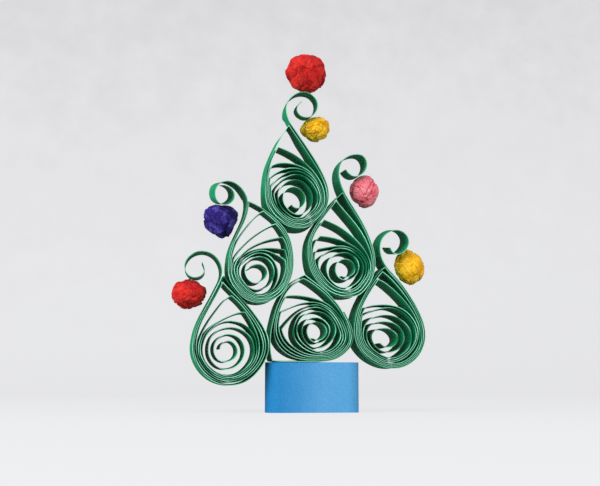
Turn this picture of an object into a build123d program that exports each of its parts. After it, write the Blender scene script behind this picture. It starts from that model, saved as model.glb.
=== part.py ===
"""A quilled paper tree: six rolled and pinched strips, six crumpled balls and a pot band.

Every coil is one long strip of paper, standing on its cut edge. It is wound round its
eye, each turn is pinched to a point at one wall, and the outer end is curled to a hook.
All the cut edges face front and back, so a coil is one ribbon outline with the depth of
the strip. The turns are laid out from a picture of the tree, in pixels of that picture,
and the tree's real height turns them into millimetres.
"""

from build123d import *
import math
import os

os.makedirs("parts", exist_ok=True)

# Driving sizes in millimetres
tree_height = 107.0
strip_width = 10.0
paper_thickness = 0.22
pot_paper_thickness = 0.3
seat_gap = 0.08

pot_width = 27.4
pot_depth = 9.6
pot_end_radius = 3.6

red_top_ball_size = 11.4
yellow_upper_ball_size = 8.6
pink_ball_size = 9.0
purple_ball_size = 10.2
red_lower_ball_size = 9.7
yellow_lower_ball_size = 9.4

# The picture, in pixels: its middle, the eye's place before the front plane of the tree
# and the tree's own height, foot and middle in that plane
picture_middle_x, picture_middle_y = 300, 243
eye_distance_pixels = 1075
eye_x_pixel, eye_y_pixel = 112, 383
foot_y_pixel = 411
tree_middle_x_pixel = 303.2
tree_height_pixels = 364.8

millimetres_per_pixel = tree_height / tree_height_pixels
half_depth = strip_width / 2
look_right = math.atan2(picture_middle_x - eye_x_pixel, eye_distance_pixels)
look_level = math.hypot(picture_middle_x - eye_x_pixel, eye_distance_pixels)
look_up = math.atan2(eye_y_pixel - picture_middle_y, look_level)
focus_pixels = math.hypot(look_level, eye_y_pixel - picture_middle_y)

# Turns of each coil, from the curled outer end to the eye. A new list starts at a pinch.
top_coil_pixels = [
    [(302, 101), (298.7, 104.5), (297, 109.3), (299, 114), (304, 116.9), (311, 116.3),
     (316, 111.5), (317.6, 104), (314, 96.7), (307, 92.4), (299, 92.6), (291.7, 96.8),
     (287.4, 103), (286.3, 110), (287.8, 118), (291.6, 125), (297.3, 133.5), (304.2, 143.5),
     (311.2, 154), (317.4, 164), (322.7, 174), (326.7, 184), (328.6, 195), (327.4, 205),
     (322.9, 213.9), (316.5, 221.1), (308, 226.4), (298, 227.8), (288, 225.6), (279, 220.2),
     (271.5, 212.6), (267, 203.5), (265.6, 193), (265.9, 180), (267.8, 168), (271.3, 157.5),
     (276, 147), (282, 136)],
    [(288.8, 125.3), (295.8, 135.3), (302.7, 145.2), (309.5, 155.6), (315.9, 165.5),
     (321.2, 175.3), (325.2, 185), (327.2, 195.2), (326, 204.6), (321.7, 212.9), (315.6, 219.8),
     (307.5, 225), (298, 226.4), (288.6, 224.3), (280, 219.1), (272.8, 211.8), (268.4, 203.1),
     (267, 193), (267.3, 180.4), (269.1, 169), (272.6, 158.2)],
    [(278.4, 147.2), (284.5, 149.6), (291.5, 153), (299, 157.8), (306, 163.6), (312.3, 170),
     (317.8, 177.5), (322.2, 186), (324.6, 195.5), (324.2, 204), (320.4, 211.9), (314.7, 218.5),
     (307, 223.5), (298, 225), (289.2, 223), (281, 217.9), (274.1, 211), (269.9, 202.6),
     (268.3, 193), (268.3, 182), (269.3, 173)],
    [(271.8, 165.8), (277, 163.6), (284, 162.9), (292, 163.7), (300, 166), (307.5, 170),
     (313.8, 175.5), (318.7, 182), (322, 189.5), (323.3, 197), (322.4, 204.9), (318.9, 211.6),
     (313.4, 217.2), (306, 221.9), (298, 223.4), (289.9, 221.7), (282.2, 216.8), (275.5, 210),
     (271.4, 202), (269.8, 193), (269.7, 184.5)],
    [(270.4, 177.3), (274, 174.3), (279, 171.2), (285, 168.9), (292, 167.9), (299, 168.5),
     (306, 171.2), (312.3, 176.2), (317.2, 182.7), (320.4, 190), (321.8, 197.5), (320.9, 204.5),
     (317.5, 210.8), (312.2, 216.1), (305.3, 220.3), (298, 221.8), (290.6, 220.2),
     (283.5, 215.7), (277, 209), (273, 201.3), (271.3, 193)],
    [(271.4, 186), (274.6, 181.5), (279, 177.4), (284.5, 173.9), (291, 171.3), (298, 171),
     (305, 173.3), (311, 177.8), (315.8, 183.8), (318.9, 190.8), (320.3, 197.7), (319.3, 204),
     (316, 209.8), (311, 214.7), (304.8, 218.6), (298, 220.1), (291.3, 218.6), (284.8, 214.4),
     (279, 208.3), (275.5, 201), (274.2, 193.6), (276.3, 187), (280.5, 181.5), (286, 177.3),
     (292, 174.8), (298.5, 174.4), (304.5, 176.3), (310, 180.6), (314.3, 186.3), (317.2, 192),
     (318.2, 198), (317, 204), (313.8, 209.3), (309, 213.8), (303.5, 217), (297.8, 218),
     (291.8, 216.4), (286, 211.9), (281, 206), (278.4, 199.5), (278.3, 193), (281, 187),
     (286, 182.3), (292, 180), (298.5, 180), (304.5, 182.8), (309.3, 187.8), (312.2, 194),
     (312.6, 201), (310, 207.5), (305, 212.3), (299, 214.5), (292.8, 213), (287.3, 208.3),
     (283.8, 202.3), (283.2, 196.3), (285, 191), (289, 187.7), (294, 186.8), (299.5, 188.6),
     (303.7, 193), (305.6, 198.7), (304.3, 204), (300.2, 207.6), (295.5, 207.7),
     (291.6, 204.6)],
]

upper_left_coil_pixels = [
    [(225.5, 185.5), (230.5, 187.8), (234, 192.5), (234.1, 198.5), (230.2, 203), (224.5, 204.6),
     (219, 202.4), (215.8, 197.5), (215.2, 191.5), (217.3, 185.8), (221.6, 182.3), (227, 181),
     (233.5, 182.2), (239.5, 186), (244, 191.5), (246.8, 197.5), (247.4, 204), (246.2, 211.5),
     (243.3, 220), (239.3, 228.5), (235, 237.5), (231.3, 247), (229.2, 257), (228.4, 266),
     (229, 275), (232.3, 283.8), (237.6, 291), (244, 297.6), (252, 301.4), (260, 302.7),
     (268, 301.5), (275.6, 298), (282, 292.6), (287.5, 285), (291.4, 276), (293.2, 266),
     (293.2, 256), (291.8, 246), (289, 237), (284.6, 229), (279, 222.3), (272, 215.7),
     (264.5, 209.8), (256.5, 205)],
    [(249, 201.6), (247.4, 212), (244.6, 220.6), (240.6, 229.2), (236.3, 238.2), (232.7, 247.4),
     (230.6, 257.2), (229.8, 266), (230.4, 274.6), (233.6, 283), (238.7, 289.9),
     (244.8, 296.3), (252.4, 300), (260, 301.3), (267.7, 300.1), (275, 296.8), (281.2, 291.6),
     (286.4, 284.4), (290.1, 275.7), (291.8, 266), (291.8, 256.2), (290.4, 246.5),
     (287.7, 237.8), (283.4, 230.2), (277.9, 223.7), (271, 217.2)],
    [(263.2, 211), (257.5, 214.8), (251, 221.5), (244.5, 229.7), (238.8, 238.5), (234.5, 247.8),
     (232, 257.4), (231.2, 266), (231.8, 274.2), (234.9, 282.2), (239.8, 288.8), (245.6, 295),
     (252.8, 298.6), (260, 299.9), (267.4, 298.8), (274.4, 295.6), (280.4, 290.6),
     (285.3, 283.8), (288.8, 275.4), (290.4, 266), (290.4, 256.5), (289, 247.1),
     (286.4, 238.8), (282.2, 231.5)],
    [(275.6, 223.8), (268, 226.9), (259, 232.3), (250.5, 238.6), (243, 245.7), (237.3, 253),
     (233.7, 260.5), (232.6, 267.5), (233.3, 274), (236.2, 281.5), (240.9, 287.8),
     (246.4, 293.7), (253.2, 297.2), (260, 298.5), (267, 297.5), (273.7, 294.4),
     (279.5, 289.7), (284.2, 283.2), (287.5, 275), (289, 266), (289, 257), (287.6, 248.3),
     (285.2, 241.5)],
    [(282.2, 237.2), (275, 238.4), (266.5, 240.5), (258, 243.7), (250, 247.8), (243.5, 252.7),
     (238.5, 258.2), (235.2, 264.5), (234.3, 271), (236.1, 277.5), (239.3, 283.5), (243.7, 288.7),
     (249, 293.7), (256, 296.6), (263, 296.9), (269.7, 295), (275.7, 291.3), (280.7, 286.3),
     (284.4, 280), (286.7, 272.5), (287.6, 264.5), (287, 256.5)],
    [(284.8, 249.8), (277, 248.6), (269, 248.1), (261, 248.5), (253, 250.2), (246, 253.4),
     (240.5, 258.2), (236.9, 264.4), (235.7, 271.2), (237.4, 277), (240.5, 282.5),
     (244.8, 287.3), (249.8, 292.2), (256.4, 295.1), (262.8, 295.4), (269.1, 293.6),
     (274.8, 290.1), (279.6, 285.2), (283.1, 279), (285.3, 272), (286.1, 265.5)],
    [(285, 260), (280, 256.6), (274.5, 253.8), (268, 251.2), (261, 250.2), (254, 251.7),
     (247.5, 254.9), (242.2, 259.4), (238.5, 265.2), (237.1, 271.5), (238.7, 276.8), (241.7, 281.7),
     (245.9, 286), (250.6, 290.8), (256.8, 293.7), (262.6, 294), (268.2, 292.3),
     (273, 288.5), (276.5, 282.8), (278.1, 276), (277.3, 268.5), (274.4, 261.7),
     (269.8, 256.4), (264, 253.5), (257, 253.2), (250, 255.9), (244.3, 260.5), (240.6, 266),
     (239.2, 271.8), (240.8, 277.5), (244.6, 283), (249.6, 287.6), (255.7, 289.8),
     (261.7, 289), (267.4, 286.2), (271.8, 280.8), (274.1, 274.4), (273.5, 267.5),
     (270.2, 261.6), (265, 257.6), (258.5, 256.6), (252, 258.6), (247.2, 263.2),
     (245.2, 269.5), (246.3, 275.8), (250, 280.7), (255.5, 282.9), (261, 281.4),
     (265.4, 277.5), (267, 272.3), (265, 267.4), (260.4, 264.6), (254.7, 264.8),
     (249.6, 267.5)],
]

upper_right_coil_pixels = [
    [(346, 169.2), (348.9, 173.2), (353, 175.7), (358, 175.9), (362.7, 173.4), (365.9, 169),
     (366.9, 163.5), (365.1, 158.2), (361.1, 154.9), (355.8, 154.3), (350, 155.5),
     (345, 158.3), (341.5, 162.3), (339.4, 167.3), (338.8, 173), (339.8, 180), (342, 187),
     (345.3, 194), (349.5, 201), (354.5, 209), (359.8, 217.7), (364.6, 226.5), (368.9, 236),
     (372.3, 245.5), (374.6, 255), (375.2, 264), (373.9, 272.8), (370.9, 280.7), (366.8, 287),
     (361.4, 292.9), (354, 296.3), (346, 297.3), (337.8, 296.1), (330.5, 293), (322.5, 286.8),
     (316, 279), (311, 269.5), (308.6, 259), (308.3, 248), (310, 238), (313.8, 229),
     (319.2, 220.4), (325.6, 212), (332, 203.9), (337.8, 197.3)],
    [(343, 192.5), (348, 201.6), (353, 209.6), (358.4, 218.4), (363.2, 227.1), (367.5, 236.4),
     (370.9, 245.8), (373.2, 255.2), (373.8, 264), (372.7, 272.7), (369.7, 280.1),
     (365.8, 286), (360.7, 291.7), (353.6, 295), (346, 295.9), (338.1, 294.7),
     (331.2, 291.8), (323.4, 285.8), (317.1, 278.2), (312.3, 269), (310, 258.8),
     (309.7, 248.2), (311.3, 238.5), (315.2, 229.7), (320.5, 221.4), (326.8, 213)],
    [(336.2, 201), (341, 206.6), (347.3, 214), (353.7, 221.6), (359.6, 229.5), (364.6, 237.7),
     (368.6, 246.4), (371.4, 255.5), (372.3, 264), (371.3, 272.3), (368.4, 279.4),
     (364.8, 285), (360, 290.5), (353.3, 293.7), (346, 294.5), (338.5, 293.4),
     (331.9, 290.6), (324.4, 284.8), (318.3, 277.3), (313.6, 268.4), (311.4, 258.6),
     (311.2, 248.4), (312.7, 239), (316.6, 230.5)],
    [(324.4, 219.8), (330, 222.2), (337.5, 225.8), (345, 230.4), (352, 236), (358.5, 242.3),
     (364, 249), (368.3, 256.3), (370.6, 264), (369.9, 272), (367.1, 278.7), (363.8, 284),
     (359.3, 289.3), (353, 292.4), (346, 293.1), (338.9, 292.1), (332.6, 289.4),
     (325.5, 283.7), (319.5, 276.4), (315, 267.7), (312.9, 258.4), (313.1, 249),
     (315.7, 241.7)],
    [(320.3, 236.2), (328, 236.9), (336, 238.5), (344, 241.2), (351.5, 244.8), (358.5, 249.5),
     (364.1, 255.2), (367.8, 261.9), (368.9, 269.3), (367, 276.4), (362.7, 282.8),
     (358.4, 288), (352.7, 291), (346, 291.7), (339.3, 290.7), (333.4, 288.1),
     (326.6, 282.6), (320.9, 275.5), (316.6, 267.1), (314.7, 259), (315.4, 252.7)],
    [(318.8, 248.9), (326, 247.6), (333, 246.4), (340.5, 245.9), (348, 247.1), (355, 250.2),
     (361, 254.8), (365.2, 260.9), (366.9, 268), (365.3, 275), (361.8, 281.4), (357.3, 286.4),
     (352.2, 289.3), (346, 290.1), (339.8, 289.1), (334.2, 286.6), (328, 281.4),
     (322.4, 274.5), (318.7, 266.9), (319.3, 260.2), (323, 255.2), (328.4, 251.4),
     (334.6, 248.9), (341, 248.1), (347.5, 249.2), (353.8, 252.1), (359, 256.6), (362.8, 262.4),
     (364, 268.6), (362.5, 275), (358.9, 280.6), (354.2, 284.9), (348.4, 287.4),
     (342, 287.5), (336, 285), (331, 280.3), (327.6, 273.8), (326.9, 266.5), (329.1, 260),
     (333.6, 255.5), (339.5, 253), (346, 252.5), (352, 254.6), (356.4, 259), (358.8, 265),
     (358, 271.5), (354.4, 276.7), (349, 279.5), (343.1, 279.6), (338.5, 276.9),
     (335.9, 272.1), (335.8, 266.6), (338.5, 261.7), (343.1, 259.1), (348.4, 259.6),
     (352.8, 262.6), (355.2, 267.2), (354.4, 272), (350.8, 275.6), (346, 277),
     (342, 276.2)],
]

lower_left_coil_pixels = [
    [(202.2, 261.5), (204, 266), (204.3, 271), (201, 275.6), (195, 277.3), (189, 275.3),
     (185.3, 270), (185, 263.5), (188.3, 257.3), (194.4, 252.7), (202, 251), (209.5, 252.5),
     (216, 257), (220.3, 263.3), (222.2, 270.2), (221.5, 277), (218.5, 284), (214.4, 292),
     (209.3, 301.5), (203.4, 312), (198.5, 322), (194.9, 332), (193, 342), (192.7, 350.5),
     (194.5, 359.3), (198.6, 367.7), (205, 375.3), (213, 381), (222, 384.4), (231.5, 385.3),
     (241, 383.5), (250, 378.7), (257.8, 371.5), (263.8, 362.8), (267.6, 353.8),
     (268.7, 344.5), (267.2, 335.5), (262.8, 326), (256.3, 316.5), (249, 307), (240.6, 297.6),
     (232.5, 287.6)],
    [(224, 276.3), (219.6, 285.2), (215.6, 292.9), (210.5, 302.3), (204.7, 312.7),
     (199.8, 322.6), (196.3, 332.4), (194.4, 342.2), (194.1, 350.2), (195.9, 358.8),
     (199.8, 366.9), (206, 374.1), (213.7, 379.3), (222.4, 382.2), (231.5, 382.8),
     (240.5, 380.8), (249, 375.9), (256.3, 368.8), (261.8, 360.5), (264.9, 352.4),
     (265.7, 344.5), (264, 336.3), (260.2, 327.5), (254.5, 318.3), (247.5, 309),
     (239.9, 300), (230.6, 290.6)],
    [(222.9, 282.3), (217.2, 293.3), (211.9, 302.9), (206.2, 313.4), (201.4, 323.2),
     (198.1, 333), (196.5, 342.5), (196.3, 350), (197.9, 358), (201.7, 365.6),
     (207.7, 372.6), (215, 377.7), (223, 380.4), (231.4, 380.9), (239.9, 378.8),
     (247.9, 374.1), (254.8, 367.4), (259.9, 359.6), (262.7, 352), (263.4, 344.7),
     (261.8, 337), (258.4, 328.7), (253, 319.8), (246.3, 310.8), (239, 302.3)],
    [(231.5, 295.6), (225.7, 299.2), (219.5, 306.5), (213, 315), (207, 324.2), (202.2, 333.5),
     (199.2, 342.5), (198.4, 350), (199.7, 357), (203.2, 364.1), (209, 370.9),
     (215.9, 375.8), (223.4, 378.6), (231.3, 379.1), (239.2, 377), (246.8, 372.3),
     (253, 366), (257.3, 358.6), (259.1, 351.3), (259.3, 344.3), (257.9, 336.8),
     (254.9, 328.8), (250.6, 320.4)],
    [(245.2, 312.2), (238, 312.9), (230, 315.8), (222.5, 319.3), (215, 323.7), (208.5, 329.1),
     (203.8, 335.6), (201, 343), (200.2, 350), (201.4, 356.5), (204.7, 363), (210.2, 369.4),
     (216.7, 374.2), (223.7, 377), (231.1, 377.4), (238.5, 375.4), (245.6, 370.8),
     (251.4, 364.8), (255.4, 358), (257, 350.8), (256.7, 343.3), (254.4, 335.8),
     (250, 329.3), (243.8, 324.4), (236.3, 321.6), (228, 321), (220.3, 323), (213.7, 327),
     (208.7, 332.2), (205.1, 338), (203, 344), (202.3, 350.2), (203.1, 356), (205.8, 362),
     (211, 368), (217.3, 372.7), (224, 375.3), (231, 375.8), (238, 373.8), (244.7, 369.3),
     (250, 363.3), (253.4, 356.8), (254.6, 350), (253.6, 343), (250.2, 336.7), (245, 331.9),
     (239, 328.8), (232, 327.4), (225, 328), (218, 330.6), (212.5, 335.5), (209.3, 342),
     (208.3, 349.5), (209.5, 357), (213, 363.2), (218.7, 367.6), (225.5, 369.4),
     (232.8, 368), (239.2, 363.7), (243.3, 357.5), (244.6, 350.5), (243, 343.8),
     (239, 338.3), (233.3, 335), (227, 334.3), (220.6, 336.7), (216, 341.2), (213.8, 347),
     (214.2, 353), (217, 358.3), (221.9, 361.5), (227.7, 361.8), (233.1, 359.3),
     (236.6, 355), (237.4, 349.5), (235.2, 344.5), (231, 341.4), (225.7, 341.4),
     (221.6, 344.2), (220, 348.6)],
]

lower_middle_coil_pixels = [
    [(344, 311.8), (348.3, 320), (351.7, 328), (353.2, 336), (351.9, 343.5), (347.2, 350.6),
     (340.8, 356), (332.5, 359.8), (324, 361.2), (315, 361.4), (300, 361.4), (285, 361.4)],
    [(272.6, 360.4), (270.7, 352), (270.2, 343), (270.9, 333), (273, 322), (276, 310.3),
     (280, 299.7), (285.4, 290.5), (292, 282.9), (298, 278.4)],
    [(304.8, 274.8), (312, 280.4), (320, 286.5), (327.5, 292.9), (334, 300), (339.5, 307),
     (343, 312.8), (347, 320.6), (349.9, 328.4), (351.2, 336), (350.1, 342.9), (346.2, 349.5),
     (340.1, 354.7), (332.1, 358.4), (324, 359.8), (315, 360), (303, 359.4), (294, 357.2),
     (285.5, 352.5), (279, 346), (275.3, 338.5), (274.3, 331), (275.3, 322), (277.9, 311.3),
     (281.7, 301.5), (286.8, 292.2), (293.3, 284.8), (298.4, 280.9)],
    [(303.4, 278.3), (310, 281.8), (318.2, 287.7), (326, 294.2), (332.8, 301.4), (338.6, 308.9),
     (342.6, 315.2), (346, 322), (348.5, 329.2), (349.7, 336), (348.7, 342.3), (345.1, 348.3),
     (339.4, 353.3), (331.7, 357), (324, 358.3), (315.3, 358.5), (304.2, 357.7),
     (295.6, 355), (287.6, 350.4), (281.6, 344.3), (277.8, 337.5), (276.2, 330.5),
     (276.8, 322.3), (279, 312.3), (282.3, 303.6)],
    [(286.6, 296), (294, 295.5), (302, 296.1), (310, 297.4), (318, 299.6), (326, 303.2),
     (333, 308.2), (339, 314.8), (343.2, 321.7), (346.2, 329), (347.6, 336), (346.6, 341.9),
     (343.3, 347.4), (338.1, 352), (331.3, 355.5), (324, 356.8), (315.6, 357),
     (305.5, 355.8), (297.4, 352.7), (290, 348.1), (284.4, 342.5), (280.9, 336.3),
     (279.1, 330), (279, 322)],
    [(281.6, 311.6), (288, 308.4), (295, 305.4), (302, 303.2), (309, 302.2), (316.5, 302.5),
     (324, 305), (331.1, 309.6), (336.9, 315.7), (341.2, 322.4), (344.2, 329.4),
     (345.7, 336), (344.8, 341.3), (341.7, 346.4), (336.9, 350.7), (330.7, 354),
     (324, 355.2), (316, 355.4), (307, 353.9), (299.4, 350.7), (292.8, 346.3),
     (287.4, 341), (283.8, 335.2)],
    [(282, 329.3), (286.5, 323.6), (292, 317.6), (298, 311.9), (304.5, 307.5), (311.5, 305),
     (318.5, 305), (325.3, 307.5), (331.2, 312), (336, 317.8), (339.7, 324.2), (342.3, 331),
     (343, 337.5), (341.2, 343), (337.4, 347.6), (332.8, 351), (327, 353.2), (320, 353.8),
     (312, 352.3), (305, 349), (299.3, 344.6), (295.7, 339.5), (294, 333.3), (294.4, 326.3),
     (296.9, 319.4), (301.3, 313.6), (307.5, 309.2), (315, 307.2), (322.3, 308.7),
     (328.4, 312.2), (333.4, 317.6), (337.3, 324), (339.7, 330.3), (340.6, 336.8),
     (337.9, 343.3), (333, 348.4), (326.8, 351.4), (320, 352), (313, 350.1), (306.5, 346.4),
     (301, 341.2), (297.8, 335), (297, 328.4), (299, 321.5), (303.5, 315.9), (309.5, 312.5),
     (316.5, 311.4), (324, 313), (330.3, 317.5), (334.4, 323.5), (335.8, 330), (334, 337),
     (329.5, 343), (323, 347.1), (316, 348), (309.3, 345), (304.7, 339.5), (302.4, 333),
     (302.9, 326.5), (306, 321), (311, 318), (317, 317.4), (323, 319.6), (327.6, 324),
     (329.8, 330), (328.3, 336), (324.3, 341), (318.5, 343.2), (312.5, 341.3),
     (308.5, 337), (307, 331.5), (308.7, 326), (313, 322.6), (318.5, 322), (323.4, 324.5),
     (326.4, 329), (326.2, 334.4), (323, 338.4), (318.5, 340.2), (314, 338.9)],
]

lower_right_coil_pixels = [
    [(390.5, 247.7), (392.3, 251.5), (396, 254), (400.6, 253.6), (404.8, 250.8), (407.8, 246.3),
     (408.7, 240.8), (406.9, 235.7), (402.7, 231.8), (397, 230.1), (391.2, 231.2),
     (386.2, 234.1), (382.6, 238.2), (380.6, 243.2), (380.1, 249), (381.1, 255.7),
     (383.5, 261.8), (387, 267.3), (391.5, 272.6), (397.3, 279), (403.6, 286.7),
     (409.5, 295.2), (415, 304.2), (419.9, 314), (423.5, 324), (425, 334), (424, 344),
     (420.5, 352.6), (414.5, 359.9), (406.5, 365.4), (397, 368), (387.5, 367.6),
     (378.5, 364.6), (370, 359.6), (363, 353), (357.7, 345.1), (354.9, 336), (354.5, 326.5),
     (356.1, 316.4), (359.2, 306.3), (363.6, 296.9), (368.4, 288.1), (373.6, 279.9),
     (379.1, 272.7)],
    [(385.2, 267.1), (390.5, 273.6), (396.2, 279.9), (402.4, 287.5), (408.2, 295.9),
     (413.7, 304.8), (418.5, 314.5), (422.1, 324.3), (423.6, 334), (422.6, 343.6),
     (419.3, 351.7), (413.6, 358.7), (406, 363.9), (396.9, 366.5), (387.8, 366.1),
     (379.1, 363.2), (370.8, 358.3), (364.1, 352.1), (359.3, 344.4), (356.8, 335.7),
     (356.5, 326.7), (357.8, 317), (360.6, 307), (364.9, 297.8), (369.7, 289.2),
     (375, 281.2)],
    [(382.5, 271.7), (388, 276), (394.3, 282.3), (400.5, 289.5), (406.4, 297.4), (412, 305.9),
     (416.9, 315.2), (420.5, 324.7), (422, 334), (421.2, 343.1), (418, 350.8),
     (412.7, 357.4), (405.4, 362.5), (396.8, 365), (388.2, 364.6), (379.8, 361.8),
     (371.7, 357), (365.2, 351.1), (360.6, 343.8), (358.2, 335.4), (357.9, 326.9),
     (359.2, 317.6), (361.9, 307.9), (366.3, 298.6), (371.8, 289.2)],
    [(378.4, 279.5), (384, 282.2), (391, 287.4), (398, 293.7), (404.6, 300.7), (410.4, 308.3),
     (415.2, 316.6), (418.7, 325.3), (420.2, 334), (419.5, 342.5), (416.5, 349.9),
     (411.6, 356.2), (404.8, 361.1), (396.7, 363.5), (388.6, 363.1), (380.5, 360.4),
     (372.7, 355.8), (366.4, 350.1), (362, 343.1), (359.7, 335.1), (359.4, 327.2),
     (360.7, 318.3)],
    [(365.7, 307.5), (373, 305.5), (381, 304.8), (389, 305), (397, 306.7), (404.4, 310.3),
     (410.3, 315.6), (414.7, 322), (417.5, 329), (418, 336), (416.5, 342.9), (413, 349.2),
     (408, 354.8), (401.8, 359.1), (395, 361.5), (388.1, 361.4), (381, 358.9),
     (373.7, 354.5), (367.6, 349.1), (363.4, 342.4), (361.2, 334.8), (361, 327.6),
     (361.6, 321.5)],
    [(362.6, 316.2), (368, 312.8), (375, 309.9), (383, 308), (391, 307.7), (398.8, 309.9),
     (405.5, 313.9), (410.7, 319.4), (414.4, 325.8), (416.1, 332.6), (416, 338.6),
     (413.8, 344.5), (410.2, 350), (405.4, 354.4), (400, 357.8), (394.3, 359.9),
     (388, 359.7), (381.7, 357.3), (374.8, 353.1), (369, 347.9), (365, 341.7), (363.2, 334.5),
     (364.3, 327.3), (368, 321.2), (374, 317.2), (381, 315.5), (388.5, 315.3), (396, 317),
     (403, 321.2), (408.6, 327.4), (411.5, 335), (411, 343), (407.2, 350), (401, 355.1),
     (394, 357.9), (387.6, 357.4), (381, 354.7), (374.3, 350.2), (369.3, 344.3),
     (366.8, 336.9), (367.6, 329.8), (371.6, 324.6), (378, 322.2), (385, 321.5),
     (392, 322.6), (398.4, 326), (402.8, 331.5), (404.2, 338), (402, 345), (396.9, 350.1),
     (390, 352.3), (382.7, 351.2), (376.6, 347.2), (372.6, 341.3), (371.9, 334.8),
     (375.3, 330.3), (381, 328.4), (387.5, 328.5), (393.7, 331.3), (397.5, 335.8),
     (397.8, 341), (394.4, 345.2), (389, 347.3), (384, 346.3), (380.6, 343.4)],
]

# How far the back edge of each curled end stands off its front edge, in pixels
top_hook_lean_pixels = (2.3, -4.8)
upper_left_hook_lean_pixels = (-2.6, -5.9)
upper_right_hook_lean_pixels = (1.2, -2.6)
lower_left_hook_lean_pixels = (2.8, -0.4)
lower_right_hook_lean_pixels = (0.2, -4.3)
no_lean_pixels = (0, 0)

# Points of the first list that make the curled end, and the most in one smooth stretch
hook_points = 16
stretch_points = 8
# A pinch's mitre is cut short where the two walls run nearly side by side
pinch_share = 0.25

# Each ball rests on the outside of a curled end: the place it touches, at the front edge,
# and the way from there to the ball's middle, in degrees
red_top_rest_pixel, red_top_way = (305.6, 92.1), 84
yellow_upper_rest_pixel, yellow_upper_way = (311.2, 116.2), -63
pink_rest_pixel, pink_way = (360.3, 175), -62
purple_rest_pixel, purple_way = (224.5, 204.6), -92
red_lower_rest_pixel, red_lower_way = (192.7, 277), -103
yellow_lower_rest_pixel, yellow_lower_way = (403, 252.3), -54

# A ball's flat facets, and how deep its creases go as a share of its radius
ball_rings, ball_sectors = 7, 10
crease_share = 0.14

# The lower middle coil stands on the pot's rim with the flat end of its first list
base_line_pixel = lower_middle_coil_pixels[0][-1]
pot_middle_x_pixel = 315


def on_front_plane(pixel):
    """The real place, in millimetres across and up, of a pixel of the picture."""
    right = pixel[0] - picture_middle_x
    up = picture_middle_y - pixel[1]
    level = focus_pixels * math.cos(look_up) - up * math.sin(look_up)
    rise = focus_pixels * math.sin(look_up) + up * math.cos(look_up)
    along = level * math.cos(look_right) - right * math.sin(look_right)
    across = level * math.sin(look_right) + right * math.cos(look_right)
    reach = eye_distance_pixels / along
    x = reach * across + eye_x_pixel - tree_middle_x_pixel
    z = reach * rise + foot_y_pixel - eye_y_pixel
    return x * millimetres_per_pixel, z * millimetres_per_pixel


def eased(share):
    """A smooth rise from nothing to one."""
    share = max(0, min(1, share))
    return share * share * (3 - 2 * share)


def leaned(spans, lean_pixels):
    """The spans as they lie at the back edge, where the curled end leans away."""
    shifted = [list(span) for span in spans]
    for place, (x, z) in enumerate(spans[0][:hook_points]):
        share = eased((hook_points - place) / (hook_points / 2))
        shift_x = lean_pixels[0] * millimetres_per_pixel * share
        shift_z = -lean_pixels[1] * millimetres_per_pixel * share
        shifted[0][place] = (x + shift_x, z + shift_z)
    return shifted


def heading(before, here, after):
    """The direction of a smooth line at a point, from the points beside it."""
    first = math.dist(before, here)
    second = math.dist(here, after)
    x = (here[0] - before[0]) * second / first + (after[0] - here[0]) * first / second
    z = (here[1] - before[1]) * second / first + (after[1] - here[1]) * first / second
    length = math.hypot(x, z)
    return x / length, z / length


def end_heading(end, near, far):
    """The direction of a smooth line at its end, going on from the two next points."""
    chord = math.atan2(near[1] - end[1], near[0] - end[0])
    at_near = heading(end, near, far)
    turn = math.atan2(at_near[1], at_near[0]) - chord
    turn = math.remainder(turn, 2 * math.pi)
    return math.cos(chord - turn), math.sin(chord - turn)


def side_stretches(spans, side):
    """One side of the paper as short smooth stretches, meeting in a mitre at a pinch."""
    closed = [span + [after[0]] for span, after in zip(spans, spans[1:])] + [spans[-1]]
    headings = []
    for span in closed:
        inner = [heading(*three) for three in zip(span, span[1:], span[2:])]
        first = end_heading(span[0], span[1], span[2])
        last = end_heading(span[-1], span[-2], span[-3])
        headings.append([first] + inner + [(-last[0], -last[1])])
    lines = []
    for place, (span, ways) in enumerate(zip(closed, headings)):
        line = [(x - side * way[1], z + side * way[0]) for (x, z), way in zip(span, ways)]
        if place > 0:
            line[0] = lines[-1][-1]
        if place < len(closed) - 1:
            line[-1] = mitre(span[-1], ways[-1], headings[place + 1][0], side)
        lines.append(line)
    stretches = []
    for line in lines:
        count = math.ceil((len(line) - 1) / stretch_points)
        cuts = [round(cut * (len(line) - 1) / count) for cut in range(count + 1)]
        stretches += [line[first : last + 1] for first, last in zip(cuts, cuts[1:])]
    return stretches


def mitre(corner, way_in, way_out, side):
    """Where the two sides of the paper meet at a pinch."""
    normal = (-way_in[1] - way_out[1], way_in[0] + way_out[0])
    length = math.hypot(*normal)
    share = abs(-way_in[1] * normal[0] + way_in[0] * normal[1]) / length
    reach = side / max(share, pinch_share)
    return corner[0] + reach * normal[0] / length, corner[1] + reach * normal[1] / length


def build_coil(name, pixels, lean_pixels):
    """A coil of one strip, its outline drawn at the front edge and at the back edge."""
    half = paper_thickness / 2
    front = [[on_front_plane(pixel) for pixel in span] for span in pixels]
    edges = ((half_depth, front), (-half_depth, leaned(front, lean_pixels)))
    with BuildPart() as coil:
        for depth, spans in edges:
            left = side_stretches(spans, half)
            right = side_stretches(spans, -half)
            with BuildSketch(Plane.XZ.offset(depth)):
                with BuildLine():
                    for stretch in left:
                        Spline(*stretch)
                    Line(left[-1][-1], right[-1][-1])
                    for stretch in reversed(right):
                        Spline(*reversed(stretch))
                    Line(right[0][0], left[0][0])
                make_face()
        loft(ruled=True)
    coil.part.label = name
    export_step(coil.part, f"parts/{name}.step")
    return coil.part


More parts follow.
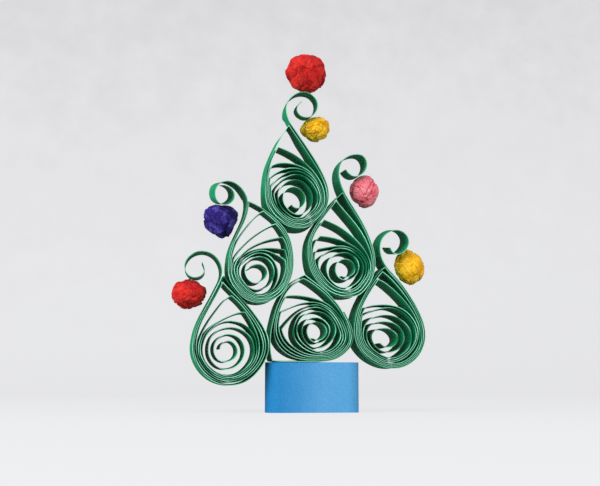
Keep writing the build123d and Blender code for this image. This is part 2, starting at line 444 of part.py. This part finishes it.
def ball_middle(rest_pixel, lean_pixels, way, size):
    """The middle of a ball that just touches a curled end halfway along its depth."""
    rest_x, rest_z = on_front_plane(rest_pixel)
    reach = (size + paper_thickness) / 2 + seat_gap
    x = rest_x + lean_pixels[0] / 2 * millimetres_per_pixel + reach * math.cos(way)
    z = rest_z - lean_pixels[1] / 2 * millimetres_per_pixel + reach * math.sin(way)
    return x, z


def build_ball(name, rest_pixel, lean_pixels, way_degrees, size, folds):
    """A scrap of paper crumpled to a ball: flat facets, poles in line with its rest."""
    way = math.radians(way_degrees)
    x, z = ball_middle(rest_pixel, lean_pixels, way, size)
    radius = size / 2
    rows = []
    for ring in range(1, ball_rings):
        polar = math.pi * ring / ball_rings
        row = []
        for sector in range(ball_sectors):
            turn = 2 * math.pi * (sector + ring % 2 / 2) / ball_sectors
            crease = (1 + math.sin(folds + 2 * ring + 2 * sector * sector)) / 2
            reach = radius * (1 - crease_share * crease)
            side = reach * math.sin(polar) * math.cos(turn)
            along = reach * math.cos(polar)
            corner_x = x + side * math.sin(way) + along * math.cos(way)
            corner_z = z - side * math.cos(way) + along * math.sin(way)
            row.append((corner_x, reach * math.sin(polar) * math.sin(turn), corner_z))
        rows.append(row)
    far_pole = (x + radius * math.cos(way), 0, z + radius * math.sin(way))
    near_pole = (x - radius * math.cos(way), 0, z - radius * math.sin(way))
    facets = []
    for sector in range(ball_sectors):
        after = (sector + 1) % ball_sectors
        facets.append((far_pole, rows[0][sector], rows[0][after]))
        facets.append((near_pole, rows[-1][after], rows[-1][sector]))
    for ring, (upper, lower) in enumerate(zip(rows, rows[1:])):
        for sector in range(ball_sectors):
            after = (sector + 1) % ball_sectors
            if ring % 2:
                facets.append((upper[sector], lower[sector], upper[after]))
                facets.append((upper[after], lower[sector], lower[after]))
            else:
                facets.append((upper[sector], lower[sector], lower[after]))
                facets.append((upper[sector], lower[after], upper[after]))
    faces = [Face(Wire.make_polygon(corners, close=True)) for corners in facets]
    with BuildPart() as ball:
        add(Solid(Shell(faces)))
    ball.part.label = name
    export_step(ball.part, f"parts/{name}.step")
    return ball.part


def build_pot():
    """The pot: a band of stiff paper closed to a flat loop, open above and below."""
    middle = on_front_plane((pot_middle_x_pixel, foot_y_pixel))[0]
    base_line = on_front_plane(base_line_pixel)[1]
    with BuildPart() as pot:
        with BuildSketch():
            with Locations((middle, 0)):
                RectangleRounded(pot_width, pot_depth, pot_end_radius)
                RectangleRounded(
                    pot_width - 2 * pot_paper_thickness,
                    pot_depth - 2 * pot_paper_thickness,
                    pot_end_radius - pot_paper_thickness,
                    mode=Mode.SUBTRACT,
                )
        extrude(amount=base_line - paper_thickness / 2 - seat_gap)
    pot.part.label = "pot"
    export_step(pot.part, "parts/pot.step")
    return pot.part


build_coil("top_coil", top_coil_pixels, top_hook_lean_pixels)
build_coil("upper_left_coil", upper_left_coil_pixels, upper_left_hook_lean_pixels)
build_coil("upper_right_coil", upper_right_coil_pixels, upper_right_hook_lean_pixels)
build_coil("lower_left_coil", lower_left_coil_pixels, lower_left_hook_lean_pixels)
build_coil("lower_middle_coil", lower_middle_coil_pixels, no_lean_pixels)
build_coil("lower_right_coil", lower_right_coil_pixels, lower_right_hook_lean_pixels)
build_ball(
    "red_top_ball",
    red_top_rest_pixel,
    top_hook_lean_pixels,
    red_top_way,
    red_top_ball_size,
    11,
)
build_ball(
    "yellow_upper_ball",
    yellow_upper_rest_pixel,
    top_hook_lean_pixels,
    yellow_upper_way,
    yellow_upper_ball_size,
    2,
)
build_ball("pink_ball", pink_rest_pixel, upper_right_hook_lean_pixels, pink_way, pink_ball_size, 3)
build_ball(
    "purple_ball",
    purple_rest_pixel,
    upper_left_hook_lean_pixels,
    purple_way,
    purple_ball_size,
    4,
)
build_ball(
    "red_lower_ball",
    red_lower_rest_pixel,
    lower_left_hook_lean_pixels,
    red_lower_way,
    red_lower_ball_size,
    5,
)
build_ball(
    "yellow_lower_ball",
    yellow_lower_rest_pixel,
    lower_right_hook_lean_pixels,
    yellow_lower_way,
    yellow_lower_ball_size,
    6,
)
build_pot()
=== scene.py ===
"""The quilled paper tree dressed for its picture: rolled green strips with pale cut edges that
carry painted shade and highlight, balls of crumpled crepe paper and a looped band of blue paper as
its pot."""

import bpy
import bmesh
import math
import numpy as np
from mathutils import Euler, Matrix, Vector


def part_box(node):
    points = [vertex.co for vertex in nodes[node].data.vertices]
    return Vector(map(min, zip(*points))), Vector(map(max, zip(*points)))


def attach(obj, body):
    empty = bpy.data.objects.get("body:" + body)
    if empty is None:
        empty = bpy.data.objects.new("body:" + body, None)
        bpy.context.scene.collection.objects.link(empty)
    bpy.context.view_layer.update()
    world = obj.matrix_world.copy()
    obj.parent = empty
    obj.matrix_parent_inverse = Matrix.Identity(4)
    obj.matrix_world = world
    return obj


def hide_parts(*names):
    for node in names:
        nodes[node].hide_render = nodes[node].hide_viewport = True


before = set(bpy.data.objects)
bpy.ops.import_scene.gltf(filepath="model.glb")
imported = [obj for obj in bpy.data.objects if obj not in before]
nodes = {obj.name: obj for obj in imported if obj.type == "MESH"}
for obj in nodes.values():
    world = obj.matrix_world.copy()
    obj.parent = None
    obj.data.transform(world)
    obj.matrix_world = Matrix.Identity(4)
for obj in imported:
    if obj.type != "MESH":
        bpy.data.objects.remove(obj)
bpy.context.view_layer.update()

# The picture's geometry, in metres and in its pixels, as the model was laid out from it
metres_per_pixel = 0.107 / 364.8
strip_width = 0.010
eye_distance_pixels = 1075
eye_x_pixel, eye_y_pixel = 112, 383
picture_width, picture_middle_x, picture_middle_y = 600, 300, 243
foot_y_pixel = 411
tree_middle_x_pixel = 303.2

# How far the handwork sets a strip off its straight place, in metres: its edges in or out of
# the coil's face, its back edge across the face, and its middle toward the coil's heart
front_ripple, back_ripple = 0.00028, 0.00026
back_slip = 0.00014
cup = 0.00028

# How far from the heart the cupping ends, short of the hooks, and over how many pixels it fades
hook_pixels, cup_fade_pixels = 70, 20

# The wads: degrees from one radius of an outline to the next, how much flatter they are from
# front to back, and how far their skin may dent or rise, as shares of the radius
outline_step = 30
depth_loss = 0.11
deepest_dent, highest_ridge = -0.14, 0.05

# The wads on their hooks: the least cosine to the hook's direction at which skin can touch the
# hook, and the power by which the skin's pull toward the hook fades
contact_least, contact_fade = 0.96, 1.3

# The pot's width, in metres
pot_width = 0.0274

# The share of its look that the card shows as a painted pale glow
seen_share = 0.74

# The pixel at the heart of each coil, and where its back edge is pulled from straight behind
# its front edge: pixel across, pixel down, pull to the right, pull upward
COILS = {
    "top_coil": ((295, 198), ((291, 124, 2.6, 3.0), (279, 146, 0.4, 2.3), (271, 165, 0.2, 2.2),
                              (300, 150, 1.2, 1.4), (322, 168, 0.0, 0.0), (300, 228, 0.0, -0.9),
                              (268, 195, 0.0, 0.2), (286, 104, 0.6, 0.0), (303, 95, 0.0, 0.0),
                              (318, 110, 0.0, 0.0), (310, 197, 0.0, 0.0))),
    "upper_left_coil": ((256, 271), ((249, 201, 0.3, 2.4), (262, 211, 1.3, 1.6),
                                     (274, 223, 1.5, 1.7), (281, 236, 1.0, 1.0),
                                     (285, 250, 0.0, 0.0), (256, 271, 0.0, 0.0),
                                     (228, 225, 0.0, 0.0), (240, 195, 0.0, 0.0),
                                     (222, 185, 0.0, 0.0), (232, 260, 0.0, 0.0))),
    "upper_right_coil": ((345, 269), ()),
    "lower_left_coil": ((225, 350), ()),
    "lower_middle_coil": ((316, 332), ()),
    "lower_right_coil": ((387, 338), ()),
}

# The picture's eye: low, to the left of the tree, looking right and slightly up
eye = np.array((
    (eye_x_pixel - tree_middle_x_pixel) * metres_per_pixel,
    -strip_width / 2 - eye_distance_pixels * metres_per_pixel,
    (foot_y_pixel - eye_y_pixel) * metres_per_pixel,
))
right_pixels = picture_middle_x - eye_x_pixel
up_pixels = eye_y_pixel - picture_middle_y
level_pixels = math.hypot(right_pixels, eye_distance_pixels)
focus_pixels = math.hypot(level_pixels, up_pixels)
eye_turn = Euler((math.pi / 2 + math.atan2(up_pixels, level_pixels), 0,
                  -math.atan2(right_pixels, eye_distance_pixels)))
eye_axes = np.array(eye_turn.to_matrix())


def linear(red, green, blue):
    """A colour picked in the picture's own 0 to 255 values, as light."""
    shares = (red / 255, green / 255, blue / 255)
    return tuple(s / 12.92 if s < 0.04 else ((s + 0.055) / 1.055) ** 2.4 for s in shares) + (1,)


# Camera

def add_camera():
    data = bpy.data.cameras.new("camera")
    data.sensor_width = 36
    data.lens = data.sensor_width * focus_pixels / picture_width
    data.clip_start = 0.01
    camera = bpy.data.objects.new("camera", data)
    camera.location = eye
    camera.rotation_euler = eye_turn
    bpy.context.collection.objects.link(camera)
    bpy.context.scene.camera = camera


def at_depth(pixel, depth):
    """The point seen at a pixel of the picture at a depth of the scene, and a pixel's width."""
    ray = eye_axes @ np.array((pixel[0] - picture_middle_x, picture_middle_y - pixel[1],
                               -focus_pixels))
    width = (depth - eye[1]) / ray[1]
    return eye + ray * width, width


def seen_at(points):
    """The pixels of the picture at which points show."""
    across, up, back = ((points - eye) @ eye_axes).T
    return np.stack((picture_middle_x - focus_pixels * across / back,
                     picture_middle_y + focus_pixels * up / back), axis=1)


# Materials

class Nodes:
    """A short way to write a material's node tree."""

    def __init__(self, name, roughness, gloss, sheen=0.0):
        self.material = bpy.data.materials.new(name)
        self.material.use_nodes = True
        self.tree = self.material.node_tree
        self.shader = self.tree.nodes["Principled BSDF"]
        self.shader.inputs["Roughness"].default_value = roughness
        self.shader.inputs["Specular IOR Level"].default_value = gloss
        self.shader.inputs["Sheen Weight"].default_value = sheen
        self.place = self.tree.nodes.new("ShaderNodeTexCoord").outputs["Object"]

    def link(self, out, into):
        self.tree.links.new(out, into)

    def noise(self, scale, detail, roughness, stretch=None):
        place = self.place
        if stretch:
            mapping = self.tree.nodes.new("ShaderNodeMapping")
            mapping.inputs["Scale"].default_value = stretch
            self.link(place, mapping.inputs["Vector"])
            place = mapping.outputs["Vector"]
        node = self.tree.nodes.new("ShaderNodeTexNoise")
        node.inputs["Scale"].default_value = scale
        node.inputs["Detail"].default_value = detail
        node.inputs["Roughness"].default_value = roughness
        self.link(place, node.inputs["Vector"])
        return node.outputs["Fac"]

    def ramp(self, value, *stops):
        node = self.tree.nodes.new("ShaderNodeValToRGB")
        elements = node.color_ramp.elements
        while len(elements) < len(stops):
            elements.new(0.5)
        for element, (place, colour) in zip(elements, stops):
            element.position = place
            element.color = colour
        self.link(value, node.inputs["Fac"])
        return node.outputs["Color"]

    def mix(self, share, low, high, blend="MIX"):
        node = self.tree.nodes.new("ShaderNodeMix")
        node.data_type = "RGBA"
        node.blend_type = blend
        sockets = [s for s in node.inputs if s.enabled]
        for value, socket in zip((share, low, high), sockets):
            if hasattr(value, "is_linked"):
                self.link(value, socket)
            else:
                socket.default_value = value
        return [s for s in node.outputs if s.enabled][0]

    def work_out(self, operation, first, second):
        node = self.tree.nodes.new("ShaderNodeMath")
        node.operation = operation
        for value, socket in zip((first, second), node.inputs):
            if hasattr(value, "is_linked"):
                self.link(value, socket)
            else:
                socket.default_value = value
        return node.outputs["Value"]

    def bump(self, height, strength, distance, under=None):
        node = self.tree.nodes.new("ShaderNodeBump")
        node.inputs["Strength"].default_value = strength
        node.inputs["Distance"].default_value = distance
        self.link(height, node.inputs["Height"])
        if under is not None:
            self.link(under, node.inputs["Normal"])
        return node.outputs["Normal"]


def strip_paper():
    """Green quilling paper: matte, faintly fibrous, with a pale cut edge front and back, painted
    darker where an edge sits back and paler where it stands out: painted shade and highlight.
    """
    made = Nodes("green strip paper", roughness=0.5, gloss=0.02)
    fibre = made.noise(5200, 4, 0.7)
    cloud = made.noise(260, 2, 0.5)
    body = made.ramp(cloud, (0.3, linear(20, 138, 90)), (0.7, linear(32, 152, 106)))
    flecks = made.ramp(fibre, (0.35, (0.86, 0.86, 0.86, 1)), (0.65, (1.1, 1.1, 1.1, 1)))
    body = made.mix(1.0, body, flecks, "MULTIPLY")
    # The cut edge's colour: partly its own paler tone, partly painted light, darker where the edge
    # sits back (painted shade) and paler where it stands out (painted highlight)
    attribute = made.tree.nodes.new("ShaderNodeAttribute")
    attribute.attribute_name = "painted_edge_light"
    edge = made.ramp(attribute.outputs["Fac"], (0.3, linear(26, 108, 76)),
                     (0.7, linear(156, 234, 200)))
    edge = made.mix(1.0, edge, flecks, "MULTIPLY")
    split = made.tree.nodes.new("ShaderNodeSeparateXYZ")
    geometry = made.tree.nodes.new("ShaderNodeNewGeometry")
    made.link(geometry.outputs["True Normal"], split.inputs["Vector"])
    facing = made.work_out("ABSOLUTE", split.outputs["Y"], 0)
    on_edge = made.work_out("GREATER_THAN", facing, 0.8)
    made.link(made.mix(on_edge, body, edge), made.shader.inputs["Base Color"])
    normal = made.bump(made.noise(900, 2, 0.5), 0.25, 0.0001)
    normal = made.bump(fibre, 0.35, 0.00003, normal)
    made.link(normal, made.shader.inputs["Normal"])
    return made.material


def crepe_paper(name, crease_shade_colour, deep, plain, bright):
    """Dyed crepe paper in random patches of deeper and paler colour, with painted shade in its
    creases.
    """
    made = Nodes(name, roughness=0.8, gloss=0.08, sheen=0.05)
    patches = made.noise(420, 5, 0.65)
    colour = made.ramp(patches, (0.3, linear(*deep)), (0.5, linear(*plain)),
                       (0.7, linear(*bright)))
    attribute = made.tree.nodes.new("ShaderNodeAttribute")
    attribute.attribute_name = "crease_shade"
    # Painted shade: the creases take the darker folded colour
    made.link(made.mix(attribute.outputs["Fac"], colour, linear(*crease_shade_colour)),
              made.shader.inputs["Base Color"])
    wrinkles = made.noise(1300, 5, 0.7, (1, 1, 2.2))
    normal = made.bump(wrinkles, 1.0, 0.0004)
    normal = made.bump(made.noise(5000, 3, 0.6), 0.4, 0.00006, normal)
    made.link(normal, made.shader.inputs["Normal"])
    return made.material


def pot_paper():
    """Stiff blue paper with a fine grain and a slightly cloudy dye, painted darker toward its left
    end as painted shade.
    """
    made = Nodes("blue band paper", roughness=0.6, gloss=0.12)
    cloud = made.noise(180, 3, 0.5)
    grain = made.noise(1900, 5, 0.75)
    split = made.tree.nodes.new("ShaderNodeSeparateXYZ")
    made.link(made.place, split.inputs["Vector"])
    # From 0 at the pot's left to 1 at its right
    across = made.work_out("MULTIPLY", split.outputs["X"], 1 / pot_width)
    across = made.work_out("ADD", across, 0.3)
    across = made.work_out("ADD", across, made.work_out("MULTIPLY", cloud, 0.15))
    # Painted shade: the blue runs from dark at the pot's left end to lit at its right
    colour = made.ramp(across, (0.0, linear(24, 124, 184)), (0.3, linear(60, 140, 196)),
                       (0.6, linear(88, 158, 208)), (1.0, linear(82, 158, 210)))
    flecks = made.ramp(grain, (0.35, (0.82, 0.84, 0.86, 1)), (0.65, (1.12, 1.12, 1.12, 1)))
    made.link(made.mix(1.0, colour, flecks, "MULTIPLY"), made.shader.inputs["Base Color"])
    normal = made.bump(grain, 0.4, 0.00004)
    made.link(normal, made.shader.inputs["Normal"])
    return made.material


# Coils with hand-rolled edges

def equalled(values, edges, rounds=12):
    """Values evened out along the mesh edges, so that both sides of a strip end up alike."""
    degree = np.bincount(edges.ravel(), minlength=len(values)) + 1
    for _ in range(rounds):
        total = values.copy()
        np.add.at(total, edges[:, 0], values[edges[:, 1]])
        np.add.at(total, edges[:, 1], values[edges[:, 0]])
        values = total / degree
    return values


def rolled_coil(name, node, material, heart_pixel, pulls, seed):
    """The coil's own strip, its turns set a little in or out as a hand leaves them, its back edge
    pulled where the picture shows it off the straight, and the paper slightly cupped along its
    middle, which leaves hardly a straight view between close turns. Each cut edge is painted darker
    the farther back it is set and paler the farther forward: painted shade and highlight."""
    rng = np.random.default_rng(seed)
    mesh = nodes[node].data.copy()
    mesh.transform(nodes[node].matrix_world)
    grid = bmesh.new()
    grid.from_mesh(mesh)
    bmesh.ops.bisect_plane(grid, geom=grid.verts[:] + grid.edges[:] + grid.faces[:],
                           plane_co=(0, 0, 0), plane_no=(0, 1, 0))
    grid.to_mesh(mesh)
    grid.free()
    corners = np.empty(len(mesh.vertices) * 3)
    mesh.vertices.foreach_get("co", corners)
    corners = corners.reshape(-1, 3)
    points, own = np.unique(np.round(corners, 7), axis=0, return_inverse=True)
    own = own.ravel()
    edges = np.empty(len(mesh.edges) * 2, dtype=np.int32)
    mesh.edges.foreach_get("vertices", edges)
    edges = own[edges.reshape(-1, 2)]
    # Where each point lies round the coil's heart, in pixels
    fronts = points.copy()
    fronts[:, 1] = -strip_width / 2
    pixels = seen_at(fronts)
    out = pixels - np.array(heart_pixel)
    turn = np.arctan2(out[:, 1], out[:, 0])
    reach = np.hypot(out[:, 0], out[:, 1])
    away = out / np.maximum(reach, 1)[:, None] * np.array((1, -1))
    front, back = points[:, 1] < -strip_width / 4, points[:, 1] > strip_width / 4
    middle = ~(front | back)
    moved = points.copy()
    # How light each cut edge is painted: painted shade below 0.5, painted highlight above
    painted_edge_light = np.full(len(points), 0.5)
    hollow = cup * middle * np.clip((hook_pixels - reach) / cup_fade_pixels, 0, 1)
    moved[:, 0] -= hollow * away[:, 0]
    moved[:, 2] -= hollow * away[:, 1]
    for side, ripple, slip in ((front, front_ripple, 0.0), (back, back_ripple, back_slip)):
        # Waves from turn to turn, which drift slowly along the strip
        phases = rng.uniform(0, 6, 6)
        same = edges[side[edges].all(axis=1)]
        deep = (np.sin(2.3 * reach + 1.6 * np.sin(turn + phases[0]) + phases[1])
                + np.sin(3.9 * reach + 1.4 * np.sin(2 * turn + phases[2]) + phases[3]))
        deep = equalled(deep, same)
        wide = equalled(np.sin(3.1 * reach + 1.8 * np.sin(turn + phases[4]) + phases[5]), same)
        moved[side, 1] += ripple * deep[side]
        # Each edge is painted darker the farther back it is set and paler the farther forward:
        # painted shade and highlight
        painted_edge_light[side] -= 0.4 * deep[side]
        moved[side, 0] += slip * wide[side] * away[side, 0]
        moved[side, 2] += slip * wide[side] * away[side, 1]
    if pulls:
        places = np.array(pulls)
        gaps = np.linalg.norm(pixels[:, None] - places[None, :, :2], axis=2)
        weights = 1 / (gaps ** 2 + 6) ** 2
        pull = weights @ places[:, 2:] / weights.sum(axis=1)[:, None]
        share = (0.5 * middle + back) * metres_per_pixel
        moved[:, 0] += share * pull[:, 0]
        moved[:, 2] += share * pull[:, 1]
    mesh.vertices.foreach_set("co", moved[own].ravel())
    # The cut edges' painted shade and highlight, for the material
    layer = mesh.attributes.new("painted_edge_light", "FLOAT", "POINT")
    layer.data.foreach_set("value", painted_edge_light[own])
    mesh.update()
    mesh.materials.clear()
    mesh.materials.append(material)
    coil = bpy.data.objects.new(name, mesh)
    bpy.context.collection.objects.link(coil)
    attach(coil, "root")
    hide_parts(node)


# Balls of crumpled paper

def crumple(points, rng):
    """Height of a wad's skin and the painted shade in its creases: tilted facets, large to small,
    that meet in folds.
    """
    reach = np.zeros(len(points))
    crease_shade = np.zeros(len(points))
    # Facets, their tilt, the folds' depth and width, how dark their painted shade shows, the
    # weakest one's strength
    sizes = ((9, 0.16, 0.07, 0.07, 1.0, 0.5), (34, 0.22, 0.03, 0.045, 0.9, 0.1),
             (150, 0.24, 0.014, 0.03, 0.45, 0.0))
    for count, tilt, depth, width, fold_shade, least in sizes:
        seeds = rng.normal(size=(count, 3))
        seeds /= np.linalg.norm(seeds, axis=1)[:, None]
        slopes = rng.normal(size=(count, 3)) * tilt
        strength = rng.uniform(least, 1.0, count) ** 1.5
        phases = rng.uniform(0, 6, 3)
        warp = points + 0.13 * np.sin(points[:, [1, 2, 0]] * 5 + phases)
        warp += 0.05 * np.sin(points[:, [2, 0, 1]] * 13 + phases)
        gaps = np.linalg.norm(warp[:, None] - seeds[None], axis=2)
        order = np.argpartition(gaps, 1, axis=1)[:, :2]
        nearest = np.take_along_axis(gaps, order, axis=1)
        own = order[:, 0]
        lean = np.einsum("ij,ij->i", points - seeds[own], slopes[own])
        near_fold = np.exp(-((nearest[:, 1] - nearest[:, 0]) / width) ** 2)
        fold = near_fold * strength[order].mean(axis=1)
        reach += lean * (1 - near_fold) * 0.5
        reach -= depth * fold
        # Painted shade along the folds
        crease_shade = np.maximum(crease_shade, fold * fold_shade)
    return reach, crease_shade


def crumpled_ball(name, node, material, way, centre_pixel, outline, seed):
    """A wad of crepe paper with the outline seen in the picture, as radii in pixels from the
    right over the top, pulled to where its node rests on the hook."""
    low, high = (np.array(corner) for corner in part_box(node))
    node_middle = (low + high) / 2
    node_radius = (high - low).max() / 2
    middle, pixel_width = at_depth(centre_pixel, node_middle[1])
    rng = np.random.default_rng(seed)
    mesh = bpy.data.meshes.new(name)
    grid = bmesh.new()
    bmesh.ops.create_icosphere(grid, subdivisions=6, radius=1)
    grid.to_mesh(mesh)
    grid.free()
    points = np.empty(len(mesh.vertices) * 3)
    mesh.vertices.foreach_get("co", points)
    points = points.reshape(-1, 3)
    reach, crease_shade = crumple(points, rng)
    around = np.degrees(np.arctan2(points[:, 2], points[:, 0])) % 360
    stops = np.arange(0, 361, outline_step)
    radii = np.interp(around, stops, list(outline) + [outline[0]])
    mean = sum(outline) / len(outline)
    radii = mean + (radii - mean) * np.hypot(points[:, 0], points[:, 2]) ** 2
    size = radii * pixel_width * (1 - depth_loss * points[:, 1] ** 2)
    # The skin's own height round the rim is taken off, so that the outline stays as given
    rim = np.abs(points[:, 1]) < 0.2
    levels = [np.percentile(reach[rim & (np.abs((around - stop + 180) % 360 - 180) < 20)], 70)
              for stop in stops]
    reach = np.clip(reach - np.interp(around, stops, levels), deepest_dent, highest_ridge)
    placed = points * (size * (1 + reach))[:, None] + middle
    toward = -np.array([math.cos(math.radians(way)), 0, math.sin(math.radians(way))])
    touching = points @ toward > contact_least
    short = (node_middle @ toward + node_radius) - (placed[touching] @ toward).max()
    side = np.clip(points @ toward, 0, 1) ** contact_fade
    placed += toward * short * side[:, None]
    mesh.vertices.foreach_set("co", placed.ravel())
    # The folds' painted shade, for the paper's colour
    layer = mesh.attributes.new("crease_shade", "FLOAT", "POINT")
    layer.data.foreach_set("value", crease_shade)
    mesh.materials.append(material)
    for face in mesh.polygons:
        face.use_smooth = True
    ball = bpy.data.objects.new(name, mesh)
    bpy.context.collection.objects.link(ball)
    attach(ball, "root")
    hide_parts(node)


# Stage

def card_material():
    """Pale card that shows the camera a painted glow, dimmed a little upward and to the left as
    painted shade, and keeps the tree's shadow. It throws a weaker light on the tree than it shows."""
    made = Nodes("pale card", roughness=0.9, gloss=0.0)
    made.shader.inputs["Base Color"].default_value = linear(172, 174, 174)
    split = made.tree.nodes.new("ShaderNodeSeparateXYZ")
    made.link(made.place, split.inputs["Vector"])
    shade = made.work_out("MULTIPLY", made.noise(33, 4, 0.6), 0.6)
    shade = made.work_out("ADD", shade, 0.66)
    shade = made.work_out("ADD", shade, made.work_out("MULTIPLY", split.outputs["X"], 0.25))
    shade = made.work_out("ADD", shade, made.work_out("MULTIPLY", split.outputs["Z"], -2.0))
    # Painted glow for camera rays, darker upward and to the left as painted shade
    glow = made.tree.nodes.new("ShaderNodeEmission")
    made.link(made.ramp(shade, (0.0, linear(232, 231, 235)), (0.45, linear(248, 247, 251)),
                        (0.8, linear(252, 252, 255))),
              glow.inputs["Color"])
    light_path = made.tree.nodes.new("ShaderNodeLightPath")
    mix = made.tree.nodes.new("ShaderNodeMixShader")
    made.link(made.work_out("MULTIPLY", light_path.outputs["Is Camera Ray"], seen_share),
              mix.inputs["Fac"])
    made.link(made.shader.outputs["BSDF"], mix.inputs[1])
    made.link(glow.outputs["Emission"], mix.inputs[2])
    made.link(mix.outputs["Shader"], made.tree.nodes["Material Output"].inputs["Surface"])
    return made.material


def add_stage():
    """A pale floor that rises behind the tree into a pale backdrop."""
    near, far, side, top, bend = -1.2, 0.80, 1.6, 1.2, 0.25
    bend_steps = 12
    rows = [(near, 0.0), (far - bend, 0.0)]
    for step in range(1, bend_steps + 1):
        angle = math.pi / 2 * step / bend_steps
        rows.append((far - bend + bend * math.sin(angle), bend - bend * math.cos(angle)))
    rows.append((far, top))
    vertices = [(x, y, z) for y, z in rows for x in (-side, side)]
    faces = [(2 * i, 2 * i + 1, 2 * i + 3, 2 * i + 2) for i in range(len(rows) - 1)]
    mesh = bpy.data.meshes.new("backdrop")
    mesh.from_pydata(vertices, [], faces)
    for face in mesh.polygons:
        face.use_smooth = True
    mesh.materials.append(card_material())
    floor = bpy.data.objects.new("backdrop", mesh)
    bpy.context.collection.objects.link(floor)


def add_lamp(name, place, aim, size, power):
    data = bpy.data.lights.new(name, "AREA")
    data.size = size
    data.energy = power
    lamp = bpy.data.objects.new(name, data)
    lamp.location = place
    way = np.array(aim) - np.array(place)
    lamp.rotation_euler = (
        math.acos(-way[2] / np.linalg.norm(way)),
        0,
        math.atan2(way[1], way[0]) - math.pi / 2,
    )
    bpy.context.collection.objects.link(lamp)


def add_light():
    """Soft daylight from the upper left front, with a weak fill from the right."""
    middle = (0, 0, 0.05)
    add_lamp("key", (-0.30, -0.46, 0.42), middle, 0.45, 2.7)
    add_lamp("side", (-0.80, -0.20, 0.28), middle, 0.45, 4.2)
    add_lamp("fill", (0.42, -0.46, 0.22), middle, 0.5, 1.9)
    world = bpy.data.worlds.new("world")
    bpy.context.scene.world = world
    world.use_nodes = True
    sky = world.node_tree.nodes["Background"]
    sky.inputs["Color"].default_value = (1, 1, 1, 1)
    sky.inputs["Strength"].default_value = 0.42


add_camera()

green = strip_paper()
for number, (coil, (heart, pulls)) in enumerate(COILS.items()):
    rolled_coil(coil.replace("coil", "rolled_strip"), coil, green, heart, pulls, 20 + number)
nodes["pot"].data.materials.clear()
nodes["pot"].data.materials.append(pot_paper())

red = crepe_paper("red crepe", (110, 8, 18), (186, 22, 24), (214, 40, 36), (232, 66, 52))
yellow = crepe_paper("yellow crepe", (186, 100, 10), (246, 160, 10), (255, 200, 34),
                     (255, 222, 80))
pink = crepe_paper("pink crepe", (190, 36, 66), (244, 106, 124), (255, 138, 150), (255, 170, 176))
purple = crepe_paper("purple crepe", (4, 2, 30), (20, 10, 76), (50, 36, 128), (116, 102, 196))
crumpled_ball("red_top_wad", "red_top_ball", red, 84, (306, 73),
              (19.5, 20.0, 19.0, 17.5, 18.5, 20.0, 20.5, 18.0, 18.5, 18.5, 19.0, 19.5), 17)
crumpled_ball("yellow_upper_wad", "yellow_upper_ball", yellow, -63, (314.4, 128.0),
              (15.0, 15.0, 14.0, 13.5, 14.0, 14.5, 15.5, 14.0, 13.0, 13.5, 14.0, 14.5), 5)
crumpled_ball("pink_wad", "pink_ball", pink, -62, (364.5, 191),
              (14.5, 13.5, 15.0, 16.0, 16.0, 15.5, 14.5, 15.0, 15.5, 17.0, 16.5, 14.0), 7)
crumpled_ball("purple_wad", "purple_ball", purple, -92, (221, 219.5),
              (16.0, 18.5, 17.5, 15.5, 18.5, 18.5, 17.0, 17.5, 16.0, 19.0, 18.0, 14.5), 9)
crumpled_ball("red_lower_wad", "red_lower_ball", red, -103, (189.5, 293),
              (16.5, 18.0, 17.0, 17.5, 16.5, 17.0, 18.0, 17.5, 16.5, 15.5, 15.5, 16.5), 15)
crumpled_ball("yellow_lower_wad", "yellow_lower_ball", yellow, -54,
              (409.5, 267.5),
              (14.5, 14.5, 15.0, 16.5, 15.5, 14.5, 14.5, 14.5, 15.5, 17.0, 16.5, 15.5), 13)

add_stage()
add_light()
bpy.context.scene.view_settings.view_transform = "Standard"
